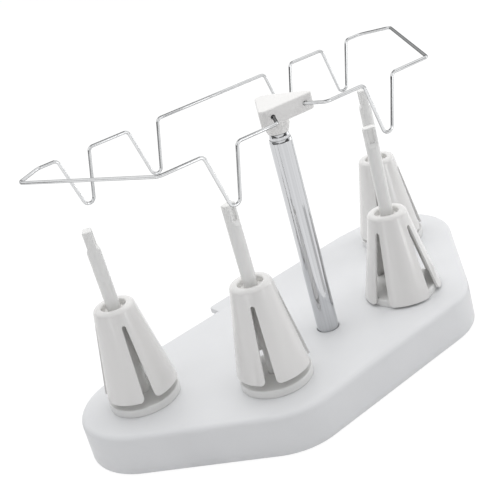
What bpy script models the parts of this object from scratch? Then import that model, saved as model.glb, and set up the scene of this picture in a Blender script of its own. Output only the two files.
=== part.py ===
"""Thread spool stand for four spools, with a telescopic pole and a wire thread guide.

Metres, +Z up. The origin is on the pole's axis, on the underside of the base.
Run it with blender --background --python part.py, or from Blender's text editor.
"""

import math

import bmesh
import bpy
from mathutils import Matrix, Vector

MM = 0.001

# Clearances
TOUCH = 0.3 * MM              # gap between pieces that rest on or in each other
GUIDE_OVER_PINS = 0.33 * MM   # gap that the guide's loops keep over the pins when the pole is down

# Base: the plan is the hull of circles centred on the four pins and of two more that push the back side out
BASE_HEIGHT = 25.5 * MM
BASE_CORNER = 41.0 * MM       # radius at the top
BASE_DRAFT = 0.5 * MM         # how much wider each side stands at the bottom
BASE_ROUND = 3.5 * MM
BACK_SIDE_OUT = 2.5 * MM      # how far the back side stands out past the circles round the back pins
BACK_SIDE_HALF = 95.0 * MM    # half the length of the back side's straight part
COVER_WALL = 2.4 * MM
BACK_PIN_X = 111.35 * MM
BACK_PIN_Y = 46.6 * MM
FRONT_PIN_X = 55.35 * MM
FRONT_PIN_Y = -13.8 * MM
TAB_HALF_WIDTH = 22.0 * MM
TAB_REACH = 9.5 * MM
TAB_THICK = 4.0 * MM
TAB_CORNER = 3.0 * MM
PLATE_THICK = 2.5 * MM
FOOT_RADIUS = 8.0 * MM
FOOT_SINK = 1.2 * MM
FOOT_PROUD = 1.0 * MM
POST_RADIUS = 4.6 * MM

# Screws
SCREW_RADIUS = 1.5 * MM
SCREW_HEAD = 3.3 * MM
SCREW_HEAD_HEIGHT = 1.3 * MM
COVER_SCREW_BITE = 11.0 * MM
SCREW_FROM_ROW = 28.0 * MM     # from each row of pins to the middle screw on that side
PIN_SCREW_BITE = 12.0 * MM
POLE_SCREW_RADIUS = 2.0 * MM
POLE_SCREW_HEAD = 4.4 * MM
POLE_SCREW_BITE = 10.0 * MM

# Pole: three tubes, one inside the other
POLE_RADIUS = 6.8 * MM
TUBE_WALL = 0.5 * MM
TUBE_STEP = 3.3 * MM          # how far the middle tube stands out of the outer one
HUB_LOW = 6.0 * MM            # underside of the hub that holds the pole
HUB_WALL = 3.5 * MM
HUB_FLOOR = 3.0 * MM
PLUG_LENGTH = 14.5 * MM
BUSH_FLANGE = 3.0 * MM
BUSH_STEM = 10.0 * MM
TUBE_SLACK = 0.6 * MM         # end clearance under each sliding tube

# Spool pins and the discs under them
PIN_RADIUS = 4.1 * MM
PIN_ABOVE_BASE = 112.5 * MM
PIN_HEAD = 10.5 * MM          # length of the two flats at the top
PIN_FLAT = 2.6 * MM           # from the axis to each flat
PIN_SHOULDER = 2.4 * MM       # height of the slope below each flat
PIN_RECESS_WIDTH = 3.4 * MM
PIN_RECESS_TOP = 1.3 * MM     # below the pin's top
PIN_RECESS_HEIGHT = 8.6 * MM
PIN_RECESS_DEPTH = 0.9 * MM
PIN_BOSS_WALL = 3.5 * MM
PIN_FLOOR = 3.0 * MM
PIN_SEAT = 10.5 * MM          # length of pin inside the base
DISC_RADIUS = 21.8 * MM
DISC_TOP = 5.0 * MM           # above the base
DISC_EDGE = 0.6 * MM

# Cone holders
CONE_LENGTH = 55.5 * MM
CONE_OVER_DISC = [4.1 * MM, 4.1 * MM, None, 2.5 * MM]  # gap under each raised cone
CONE_OVER_BASE = 1.5 * MM     # gap under the third one, which is spread over its disc
CONE_MOUTH = 7.28 * MM
CONE_RIM_RADIUS = 11.2 * MM   # flat part of the rim
CONE_FOOT_RADIUS = 22.3 * MM
CONE_WALL = 1.5 * MM
CONE_WEB_DEPTH = 4.0 * MM
CONE_WEB = 2.4 * MM
CONE_COLLAR_WALL = 1.6 * MM
CONE_COLLAR_LENGTH = 33.7 * MM
PETAL_OVER_DISC = 0.4 * MM    # gap between the spread cone's petals and its disc
SLIT_TOP = 9.0 * MM           # below the rim
SLIT_WIDTH_TOP = 2.4 * MM
SLIT_WIDTH_FOOT = 7.0 * MM
PETAL_CORNER = 2.0 * MM
SLITS = 4

# Thread guide
GUIDE_TURN = math.radians(-7.0)
WIRE_RADIUS = 1.0 * MM
LOOP_DEPTH = 31.7 * MM
LOOP_WIDTH = 21.0 * MM
LOOP_BEND = 3.5 * MM
WIRE_BEND = 3.0 * MM
WIRE_BACK_Y = 69.6 * MM
WIRE_FRONT_Y = -30.2 * MM
BACK_OUTER_LOOP_X = 97.4 * MM
BACK_INNER_LOOP_X = 50.4 * MM
FRONT_LOOP_X = 53.2 * MM
WIRE_SHOULDER_X = 120.0 * MM
WIRE_END_X = 136.2 * MM
WIRE_END_Y = 56.8 * MM
WIRE_FRONT_END_X = 90.4 * MM
WIRE_KINK_X = 16.8 * MM
WIRE_ENTRY_X = 10.7 * MM
WIRE_IN_HOLDER = 7.5 * MM

# Holder at the top of the pole
HOLDER_FRONT_Y = -17.5 * MM
HOLDER_HALF_WIDTH = 17.5 * MM
HOLDER_CORNER = 3.0 * MM
HOLDER_BACK_Y = 8.0 * MM
HOLDER_BACK_RADIUS = 4.9 * MM
HOLDER_THICK = 10.0 * MM
HOLDER_OVER_WIRE = 5.0 * MM   # from the wire's axis to the top face
HOLDER_ROUND = 1.2 * MM
HOLDER_ROOF = 3.2 * MM
NECK_RADIUS = 7.6 * MM
NECK_LENGTH = 10.0 * MM       # below the holder
NECK_TAPER = 4.0 * MM

# Sizes that follow from the ones above
WIRE_Z = BASE_HEIGHT + PIN_ABOVE_BASE + GUIDE_OVER_PINS + WIRE_RADIUS + LOOP_DEPTH
HOLDER_TOP = WIRE_Z + HOLDER_OVER_WIRE
HOLDER_BOTTOM = HOLDER_TOP - HOLDER_THICK
NECK_BOTTOM = HOLDER_BOTTOM - NECK_LENGTH
MIDDLE_TOP = NECK_BOTTOM - TOUCH
POLE_TOP = MIDDLE_TOP - TUBE_STEP
MIDDLE_RADIUS = POLE_RADIUS - TUBE_WALL - TOUCH
INNER_RADIUS = MIDDLE_RADIUS - TUBE_WALL - TOUCH
PINS = [
    (-BACK_PIN_X, BACK_PIN_Y),
    (-FRONT_PIN_X, FRONT_PIN_Y),
    (FRONT_PIN_X, FRONT_PIN_Y),
    (BACK_PIN_X, BACK_PIN_Y),
]
PIN_HEAD_TURN = [math.radians(a) for a in (-33.0, -75.0, -120.0, -33.0)]
CONE_TURN = [math.radians(a) for a in (-107.8, -133.9, -80.0, -58.0)]
LOWERED_CONE = 3
SCREW_SPOTS = [
    (-BACK_PIN_X - 14 * MM, BACK_PIN_Y + 24 * MM),
    (BACK_PIN_X + 14 * MM, BACK_PIN_Y + 24 * MM),
    (-FRONT_PIN_X - 23 * MM, FRONT_PIN_Y - 22 * MM),
    (FRONT_PIN_X + 23 * MM, FRONT_PIN_Y - 22 * MM),
    (0.0, FRONT_PIN_Y - SCREW_FROM_ROW),
    (0.0, BACK_PIN_Y + SCREW_FROM_ROW),
]
FOOT_SPOTS = [
    (-BACK_PIN_X - 18 * MM, BACK_PIN_Y - 19 * MM),
    (BACK_PIN_X + 18 * MM, BACK_PIN_Y - 19 * MM),
    (-FRONT_PIN_X - 6 * MM, FRONT_PIN_Y - 26 * MM),
    (FRONT_PIN_X + 6 * MM, FRONT_PIN_Y - 26 * MM),
]


def clear_scene():
    for obj in list(bpy.data.objects):
        bpy.data.objects.remove(obj, do_unlink=True)


def make_collection(name, hidden=False):
    found = bpy.data.collections.new(name)
    bpy.context.scene.collection.children.link(found)
    found.hide_render = hidden
    return found


def make_material(name, colour, roughness, metallic=0.0):
    """A Principled material from a colour given as three sRGB numbers from 0 to 255."""
    material = bpy.data.materials.new(name)
    material.use_nodes = True
    linear = [(c / 255 / 12.92) if c <= 10 else ((c / 255 + 0.055) / 1.055) ** 2.4 for c in colour]
    shader = material.node_tree.nodes["Principled BSDF"]
    shader.inputs["Base Color"].default_value = (*linear, 1)
    shader.inputs["Roughness"].default_value = roughness
    shader.inputs["Metallic"].default_value = metallic
    return material


def cross(o, a, b):
    return (a[0] - o[0]) * (b[1] - o[1]) - (a[1] - o[1]) * (b[0] - o[0])


def hull_of_circles(circles, sides=44):
    """The outline, anticlockwise, of a band stretched round circles given as (x, y, radius)."""
    points = set()
    for x, y, radius in circles:
        for k in range(sides):
            angle = 2 * math.pi * k / sides
            points.add((round(x + radius * math.cos(angle), 8), round(y + radius * math.sin(angle), 8)))
    points = sorted(points)
    halves = []
    for run in (points, points[::-1]):
        half = []
        for point in run:
            while len(half) > 1 and cross(half[-2], half[-1], point) <= 1e-12:
                half.pop()
            half.append(point)
        halves += half[:-1]
    return halves


def rounded(corners, radii, steps=4, closed=False):
    """The corners as a path in which each one with a radius becomes an arc of that radius."""
    path = []
    count = len(corners)
    for i, corner in enumerate(corners):
        if radii[i] <= 0 or (not closed and i in (0, count - 1)):
            path.append(corner.copy())
            continue
        back = (corners[i - 1] - corner).normalized()
        ahead = (corners[(i + 1) % count] - corner).normalized()
        half = back.angle(ahead) / 2
        centre = corner + (back + ahead).normalized() * radii[i] / math.sin(half)
        start = corner + back * radii[i] / math.tan(half) - centre
        end = corner + ahead * radii[i] / math.tan(half) - centre
        sweep = start.angle(end)
        for k in range(steps + 1):
            t = k / steps
            arm = start * math.sin((1 - t) * sweep) + end * math.sin(t * sweep)
            path.append(centre + arm / math.sin(sweep))
    return path


def flat_solid(outline, low, high):
    """A mesh of a flat outline, from z = low to z = high, made by a filled 2D curve."""
    curve = bpy.data.curves.new("outline", "CURVE")
    curve.dimensions = "2D"
    curve.fill_mode = "BOTH"
    curve.extrude = (high - low) / 2
    spline = curve.splines.new("POLY")
    spline.points.add(len(outline) - 1)
    for point, at in zip(spline.points, outline):
        point.co = (at[0], at[1], 0, 1)
    spline.use_cyclic_u = True
    holder = bpy.data.objects.new("outline", curve)
    bpy.context.scene.collection.objects.link(holder)
    holder.location.z = (low + high) / 2
    bpy.context.view_layer.update()
    graph = bpy.context.evaluated_depsgraph_get()
    mesh = bpy.data.meshes.new_from_object(holder.evaluated_get(graph))
    shape = bmesh.new()
    shape.from_mesh(mesh)
    bmesh.ops.remove_doubles(shape, verts=shape.verts, dist=1e-6)
    bmesh.ops.dissolve_limit(shape, angle_limit=math.radians(0.1), verts=shape.verts, edges=shape.edges)
    bmesh.ops.transform(shape, matrix=holder.matrix_world, verts=shape.verts)
    bmesh.ops.recalc_face_normals(shape, faces=shape.faces)
    shape.to_mesh(mesh)
    shape.free()
    bpy.data.objects.remove(holder, do_unlink=True)
    bpy.data.curves.remove(curve)
    return mesh


def drum(radius, low, high, top_radius=None, sides=24):
    """A mesh of a cylinder or cone on the Z axis, from z = low to z = high."""
    shape = bmesh.new()
    bmesh.ops.create_cone(
        shape,
        cap_ends=True,
        segments=sides,
        radius1=radius,
        radius2=radius if top_radius is None else top_radius,
        depth=high - low,
        matrix=Matrix.Translation((0, 0, (low + high) / 2)),
    )
    mesh = bpy.data.meshes.new("drum")
    shape.to_mesh(mesh)
    shape.free()
    return mesh


def block(size, at):
    """A mesh of a box of this size centred on this point."""
    shape = bmesh.new()
    bmesh.ops.create_cube(shape, size=1, matrix=Matrix.Translation(at) @ Matrix.Diagonal((*size, 1)))
    mesh = bpy.data.meshes.new("block")
    shape.to_mesh(mesh)
    shape.free()
    return mesh


def gather(name, pieces, into):
    """One object that holds several meshes, each given with its matrix."""
    shape = bmesh.new()
    for mesh, matrix in pieces:
        before = len(shape.verts)
        shape.from_mesh(mesh)
        shape.verts.ensure_lookup_table()
        bmesh.ops.transform(shape, matrix=matrix, verts=shape.verts[before:])
    bmesh.ops.recalc_face_normals(shape, faces=shape.faces)
    mesh = bpy.data.meshes.new(name)
    shape.to_mesh(mesh)
    shape.free()
    obj = bpy.data.objects.new(name, mesh)
    into.objects.link(obj)
    if into.hide_render:
        obj.hide_render = True
        obj.display_type = "WIRE"
    return obj


def turned(name, profile, into, steps=32, closed=True):
    """A Screw modifier round Z. The profile (radius, z) runs down the outer side."""
    mesh = bpy.data.meshes.new(name)
    edges = [(i, i + 1) for i in range(len(profile) - 1)]
    if closed:
        edges.append((len(profile) - 1, 0))
    mesh.from_pydata([(r, 0, z) for r, z in profile], edges, [])
    obj = bpy.data.objects.new(name, mesh)
    into.objects.link(obj)
    screw = obj.modifiers.new("turn", "SCREW")
    screw.steps = screw.render_steps = steps
    screw.use_merge_vertices = True
    screw.merge_threshold = 0.00001
    return obj


def boolean(obj, other, operation):
    modifier = obj.modifiers.new(other.name, "BOOLEAN")
    modifier.operation = operation
    modifier.solver = "EXACT"
    modifier.object = other


def cut(obj, pieces):
    cutter = gather(obj.name + "_cutter", pieces, CUTTERS)
    cutter.parent = obj
    boolean(obj, cutter, "DIFFERENCE")


def add(obj, pieces):
    boss = gather(obj.name + "_boss", pieces, CUTTERS)
    boss.parent = obj
    boolean(obj, boss, "UNION")


def soften(obj, width, chosen, segments=3):
    """Bevels the edges for which chosen(edge) is true."""
    shape = bmesh.new()
    shape.from_mesh(obj.data)
    weight = shape.edges.layers.float.new("bevel_weight_edge")
    for edge in shape.edges:
        edge[weight] = 1.0 if chosen(edge) else 0.0
    shape.to_mesh(obj.data)
    shape.free()
    bevel = obj.modifiers.new("round", "BEVEL")
    bevel.limit_method = "WEIGHT"
    bevel.width = width
    bevel.segments = segments
    bevel.use_clamp_overlap = False


def on_level(z):
    """Chooses the outline edges that lie at this height."""
    def chosen(edge):
        level = all(abs(v.co.z - z) < 1e-6 for v in edge.verts)
        return level and any(abs(f.normal.z) < 0.5 for f in edge.link_faces)
    return chosen


def dress(obj, material, parent=None):
    obj.data.materials.clear()
    obj.data.materials.append(material)
    if parent:
        obj.parent = parent
    return obj


def at(x, y, z=0.0):
    return Matrix.Translation((x, y, z))


def base_outline(inset, z):
    radius = BASE_CORNER + BASE_DRAFT * (1 - z / BASE_HEIGHT) - inset
    back = BACK_PIN_Y + BACK_SIDE_OUT
    centres = PINS + [(-BACK_SIDE_HALF, back), (BACK_SIDE_HALF, back)]
    return hull_of_circles([(x, y, radius) for x, y in centres])


def base_solid(inset, low, high):
    """A mesh of the base's plan, pulled in by the inset, whose sides lean in by the draft."""
    upper = base_outline(inset, high)
    lower = base_outline(inset, low)
    mesh = flat_solid(upper, low, high)
    for vert in mesh.vertices:
        if vert.co.z < (low + high) / 2:
            place = (vert.co.x, vert.co.y)
            nearest = min(range(len(upper)), key=lambda k: math.dist(upper[k], place))
            vert.co.x, vert.co.y = lower[nearest]
    return mesh


def make_screw(name, radius, head, head_height, length, into):
    """A pan head screw, head down, whose head starts at z = 0."""
    recess = head * 0.32
    profile = [
        (0.0, head_height + length),
        (radius * 0.55, head_height + length),
        (radius, head_height + length - radius),
        (radius, head_height),
        (head, head_height),
        (head, head_height * 0.35),
        (head * 0.8, 0.0),
        (recess, 0.0),
        (recess * 0.6, head_height * 0.6),
        (0.0, head_height * 0.6),
    ]
    return turned(name, profile, into, steps=10, closed=False)


def make_tube(name, radius, low, high, into):
    inner = radius - TUBE_WALL
    profile = [(radius, high), (radius, low), (inner, low), (inner, high)]
    return turned(name, profile, into, steps=32)


def make_bush(name, flange, stem, low, into):
    """A plug for a tube's lower end: a flange with a stem that goes up into the tube."""
    top = low + BUSH_FLANGE + BUSH_STEM
    profile = [
        (0.0, top),
        (stem - 0.5 * MM, top),
        (stem, top - 0.8 * MM),
        (stem, low + BUSH_FLANGE),
        (flange, low + BUSH_FLANGE),
        (flange, low),
        (0.0, low),
    ]
    return turned(name, profile, into, steps=24, closed=False)


def make_base(into):
    top = BASE_HEIGHT
    cover = gather("base_cover", [(base_solid(0, 0, top), Matrix())], into)
    soften(cover, BASE_ROUND, on_level(top), segments=4)
    roof = top - COVER_WALL

    back = BACK_PIN_Y + BACK_SIDE_OUT + BASE_CORNER
    root = back - BASE_ROUND - 1 * MM
    half = TAB_HALF_WIDTH
    corners = [(-half, root), (half, root), (half, back + TAB_REACH), (-half, back + TAB_REACH)]
    tab = rounded([Vector((x, y, 0)) for x, y in corners], [0, 0, TAB_CORNER, TAB_CORNER], closed=True)
    add(cover, [(flat_solid(tab, top - TAB_THICK, top), Matrix())])

    hollow = gather("base_cover_hollow", [(base_solid(COVER_WALL, -5 * MM, roof), Matrix())], CUTTERS)
    hollow.parent = cover
    posts = [(drum(POST_RADIUS, PLATE_THICK + TOUCH, roof + 5 * MM, sides=14), at(x, y)) for x, y in SCREW_SPOTS]
    pin_boss = drum(PIN_RADIUS + TOUCH + PIN_BOSS_WALL, top - PIN_SEAT - PIN_FLOOR, roof + 5 * MM, sides=18)
    posts += [(pin_boss, at(x, y)) for x, y in PINS]
    hub = drum(POLE_RADIUS + TOUCH + HUB_WALL, HUB_LOW, roof + 5 * MM)
    cut(hollow, posts + [(hub, Matrix())])
    boolean(cover, hollow, "DIFFERENCE")

    pilot = SCREW_RADIUS + TOUCH
    post_low = PLATE_THICK + TOUCH
    bites = [(drum(pilot, post_low - 1 * MM, post_low + COVER_SCREW_BITE, sides=10), at(x, y)) for x, y in SCREW_SPOTS]
    pin_floor = top - PIN_SEAT
    bites += [(drum(PIN_RADIUS + TOUCH, pin_floor, top + 5 * MM, sides=20), at(x, y)) for x, y in PINS]
    bites.append((drum(POLE_RADIUS + TOUCH, HUB_LOW + HUB_FLOOR, top + 5 * MM, sides=32), Matrix()))
    cut(cover, bites)
    screw_ways = [(drum(pilot, 4 * MM, pin_floor + 1 * MM, sides=10), at(x, y)) for x, y in PINS]
    way = drum(POLE_SCREW_RADIUS + TOUCH, 3 * MM, HUB_LOW + HUB_FLOOR + 1 * MM, sides=12)
    ways = gather("base_cover_ways", screw_ways + [(way, Matrix())], CUTTERS)
    ways.parent = cover
    boolean(cover, ways, "DIFFERENCE")
    dress(cover, WHITE_SATIN)

    plate = gather(
        "base_bottom_plate",
        [(base_solid(COVER_WALL + TOUCH, 0, PLATE_THICK), Matrix())],
        into,
    )
    sunk = SCREW_HEAD_HEIGHT + 2 * TOUCH
    holes = [(drum(SCREW_HEAD + TOUCH, -2 * MM, sunk, sides=14), at(x, y)) for x, y in SCREW_SPOTS]
    holes += [(drum(FOOT_RADIUS + TOUCH, -2 * MM, FOOT_SINK, sides=24), at(x, y)) for x, y in FOOT_SPOTS]
    cut(plate, holes)
    through = [(drum(pilot, sunk - 0.5 * MM, PLATE_THICK + 2 * MM, sides=10), at(x, y)) for x, y in SCREW_SPOTS]
    passes = gather("base_bottom_plate_ways", through, CUTTERS)
    passes.parent = plate
    boolean(plate, passes, "DIFFERENCE")
    dress(plate, GREY_MATT)

    for number, (x, y) in enumerate(SCREW_SPOTS, 1):
        length = PLATE_THICK + COVER_SCREW_BITE - SCREW_HEAD_HEIGHT - 2 * TOUCH
        screw = make_screw(f"cover_screw_{number}", SCREW_RADIUS, SCREW_HEAD, SCREW_HEAD_HEIGHT, length, into)
        screw.location = (x, y, TOUCH)
        dress(screw, STEEL)
    for number, (x, y) in enumerate(FOOT_SPOTS, 1):
        edge = 0.5 * MM
        high = FOOT_SINK - TOUCH
        profile = [
            (0.0, high),
            (FOOT_RADIUS, high),
            (FOOT_RADIUS, edge - FOOT_PROUD),
            (FOOT_RADIUS - edge, -FOOT_PROUD),
            (0.0, -FOOT_PROUD),
        ]
        foot = turned(f"rubber_foot_{number}", profile, into, steps=24, closed=False)
        foot.location = (x, y, 0)
        dress(foot, RUBBER)


def make_pole(into):
    low = HUB_LOW + HUB_FLOOR + TOUCH
    outer = make_tube("pole_outer_tube", POLE_RADIUS, low, POLE_TOP, into)
    dress(outer, CHROME)

    plug_radius = POLE_RADIUS - TUBE_WALL - TOUCH
    plug_top = low + PLUG_LENGTH
    way = POLE_SCREW_RADIUS + TOUCH
    profile = [
        (0.0, plug_top),
        (plug_radius, plug_top),
        (plug_radius, low),
        (way, low),
        (way, low + POLE_SCREW_BITE + 2 * TOUCH),
        (0.0, low + POLE_SCREW_BITE + 2 * TOUCH),
    ]
    dress(turned("pole_plug", profile, into, steps=28, closed=False), WHITE_SATIN)

    head_height = 2.2 * MM
    length = HUB_FLOOR + 2 * TOUCH + POLE_SCREW_BITE
    screw = make_screw("pole_screw", POLE_SCREW_RADIUS, POLE_SCREW_HEAD, head_height, length, into)
    screw.location.z = HUB_LOW - TOUCH - head_height
    dress(screw, STEEL)

    middle_foot = plug_top + TUBE_SLACK
    middle_low = middle_foot + BUSH_FLANGE + TOUCH
    stem = MIDDLE_RADIUS - TUBE_WALL - TOUCH
    dress(make_bush("middle_tube_bush", MIDDLE_RADIUS, stem, middle_foot, into), BLACK_PLASTIC)
    dress(make_tube("pole_middle_tube", MIDDLE_RADIUS, middle_low, MIDDLE_TOP, into), CHROME)

    inner_foot = middle_foot + BUSH_FLANGE + BUSH_STEM + TUBE_SLACK
    inner_low = inner_foot + BUSH_FLANGE + TOUCH
    stem = INNER_RADIUS - TUBE_WALL - TOUCH
    dress(make_bush("inner_tube_bush", INNER_RADIUS, stem, inner_foot, into), BLACK_PLASTIC)
    inner_top = HOLDER_TOP - HOLDER_ROOF - TOUCH
    dress(make_tube("pole_inner_tube", INNER_RADIUS, inner_low, inner_top, into), CHROME)


def make_pin(number, x, y, into):
    top = BASE_HEIGHT + PIN_ABOVE_BASE
    low = BASE_HEIGHT - PIN_SEAT + TOUCH
    way = SCREW_RADIUS + TOUCH
    profile = [
        (0.0, top),
        (PIN_RADIUS, top),
        (PIN_RADIUS, low),
        (way, low),
        (way, low + PIN_SCREW_BITE + 2 * TOUCH),
        (0.0, low + PIN_SCREW_BITE + 2 * TOUCH),
    ]
    pin = turned(f"spool_pin_{number}", profile, into, steps=24, closed=False)
    pin.location = (x, y, 0)
    pin.rotation_euler.z = PIN_HEAD_TURN[number - 1]
    wide = 2 * PIN_RADIUS
    drop = PIN_SHOULDER * (wide - PIN_FLAT) / (PIN_RADIUS - PIN_FLAT)
    side = [
        (PIN_FLAT, top + 5 * MM),
        (PIN_FLAT, top - PIN_HEAD),
        (wide, top - PIN_HEAD - drop),
        (wide, top + 5 * MM),
    ]
    upright = Matrix(((1, 0, 0, 0), (0, 0, -1, 0), (0, 1, 0, 0), (0, 0, 0, 1)))
    half_turn = Matrix.Rotation(math.pi, 4, "Z")
    slab = flat_solid(side, -wide, wide)
    cut(pin, [(slab, upright), (slab, half_turn @ upright)])
    middle = top - PIN_RECESS_TOP - PIN_RECESS_HEIGHT / 2
    recess = block((2 * PIN_RECESS_DEPTH, PIN_RECESS_WIDTH, PIN_RECESS_HEIGHT), (PIN_FLAT, 0, middle))
    dent = gather(pin.name + "_recess", [(recess, Matrix()), (recess, half_turn)], CUTTERS)
    dent.parent = pin
    boolean(pin, dent, "DIFFERENCE")
    dress(pin, WHITE_GLOSS)

    length = PIN_FLOOR + 2 * TOUCH + PIN_SCREW_BITE
    screw = make_screw(f"pin_screw_{number}", SCREW_RADIUS, SCREW_HEAD, SCREW_HEAD_HEIGHT, length, into)
    screw.location = (x, y, BASE_HEIGHT - PIN_SEAT - PIN_FLOOR - TOUCH - SCREW_HEAD_HEIGHT)
    dress(screw, STEEL)


def make_disc(number, x, y, into):
    low = BASE_HEIGHT + TOUCH
    top = BASE_HEIGHT + DISC_TOP
    way = PIN_RADIUS + TOUCH
    profile = [
        (way, top),
        (DISC_RADIUS - DISC_EDGE, top),
        (DISC_RADIUS, top - DISC_EDGE),
        (DISC_RADIUS, low),
        (way, low),
    ]
    disc = turned(f"spool_disc_{number}", profile, into, steps=40)
    disc.location = (x, y, 0)
    dress(disc, WHITE_GLOSS)


def cone_radius(depth, splay):
    """Outer radius at a depth below the rim: an almost straight flare, with any splay added below the slits' top."""
    neck = CONE_RIM_RADIUS + 1.5 * MM
    share = max(0.0, (depth - 3 * MM) / (CONE_LENGTH - 3 * MM))
    flare = neck + (CONE_FOOT_RADIUS - neck) * (0.97 * share + 0.03 * share ** 2)
    spread = max(0.0, (depth - SLIT_TOP) / (CONE_LENGTH - SLIT_TOP))
    return flare + splay * spread


def petal_spread():
    """Extra radius at the foot of the third cone, with which its petals stand clear of the disc."""
    depth = CONE_LENGTH + CONE_OVER_BASE - DISC_TOP
    inside = cone_radius(depth, 0.0) - CONE_WALL
    share = (depth - SLIT_TOP) / (CONE_LENGTH - SLIT_TOP)
    return (DISC_RADIUS + PETAL_OVER_DISC - inside) / share


def slit_outline(width_foot):
    """Half-round top, straight sides and flared corners at the foot, as (across, up from the foot)."""
    half_top = SLIT_WIDTH_TOP / 2
    flare = width_foot / 2 + PETAL_CORNER
    high = CONE_LENGTH - SLIT_TOP - half_top
    right = [(flare, -5 * MM)]
    for k in range(4):
        angle = math.pi / 2 * k / 3
        right.append((flare - PETAL_CORNER * math.sin(angle), PETAL_CORNER * (1 - math.cos(angle))))
    for k in range(3):
        angle = math.pi / 2 * k / 2.5
        right.append((half_top * math.cos(angle), high + half_top * math.sin(angle)))
    return right + [(-x, y) for x, y in reversed(right)]


def make_cone(number, x, y, into):
    lowered = number == LOWERED_CONE
    splay = petal_spread() if lowered else 0.0
    foot_gap = CONE_OVER_BASE if lowered else DISC_TOP + CONE_OVER_DISC[number - 1]
    rim = BASE_HEIGHT + foot_gap + CONE_LENGTH
    depths = [2.9 * MM, SLIT_TOP] + [CONE_LENGTH * share for share in (0.28, 0.5, 0.75, 1.0)]
    outer = [(CONE_RIM_RADIUS, 0.0), (CONE_RIM_RADIUS + 1.05 * MM, -0.75 * MM)]
    outer += [(cone_radius(d, splay), -d) for d in depths]
    web_low = CONE_WEB_DEPTH + CONE_WEB
    inner = [(cone_radius(d, splay) - CONE_WALL, -d) for d in depths[:2:-1]]
    inner.append((cone_radius(web_low, 0) - CONE_WALL - 0.6 * MM, -web_low))
    bore = PIN_RADIUS + TOUCH
    collar = bore + CONE_COLLAR_WALL
    collar_low = web_low + CONE_COLLAR_LENGTH
    inner += [
        (collar, -web_low),
        (collar, -collar_low),
        (bore, -collar_low),
        (bore, -CONE_WEB_DEPTH),
        (CONE_MOUTH, -CONE_WEB_DEPTH),
        (CONE_MOUTH, -0.7 * MM),
        (CONE_MOUTH + 0.7 * MM, 0.0),
    ]
    cone = turned(f"cone_holder_{number}", outer + inner, into, steps=32)
    cone.location = (x, y, rim)
    cone.rotation_euler.z = CONE_TURN[number - 1]
    foot = cone_radius(CONE_LENGTH, splay)
    petal = 2 * math.pi * CONE_FOOT_RADIUS / SLITS - SLIT_WIDTH_FOOT
    width = 2 * math.pi * foot / SLITS - petal
    outward = Matrix(((0, 0, 1, 0), (1, 0, 0, 0), (0, 1, 0, 0), (0, 0, 0, 1)))
    blade = flat_solid(slit_outline(width), 9.6 * MM, foot + 5 * MM)
    down = at(0, 0, -CONE_LENGTH)
    blades = [(blade, down @ Matrix.Rotation(2 * math.pi * k / SLITS, 4, "Z") @ outward) for k in range(SLITS)]
    cut(cone, blades)
    dress(cone, WHITE_GLOSS)


def loop_corners(x, y, direction):
    """The three corners of one hanging loop of the guide wire, in the order that the wire takes."""
    half = LOOP_WIDTH / 2
    reach = LOOP_DEPTH - LOOP_BEND
    far = math.hypot(half, reach)
    lean = math.atan2(half, reach) - math.asin(LOOP_BEND / far)
    tip = half / math.tan(lean)
    return [
        (Vector((x - direction * half, y, WIRE_Z)), WIRE_BEND),
        (Vector((x, y, WIRE_Z - tip)), LOOP_BEND),
        (Vector((x + direction * half, y, WIRE_Z)), WIRE_BEND),
    ]


def wire_entry():
    """Where the wire meets the holder's front face and the way that it runs on inside."""
    outside = Vector((WIRE_KINK_X, WIRE_FRONT_Y, WIRE_Z))
    face = Vector((WIRE_ENTRY_X, HOLDER_FRONT_Y, WIRE_Z))
    return outside, face, (face - outside).normalized()


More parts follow.
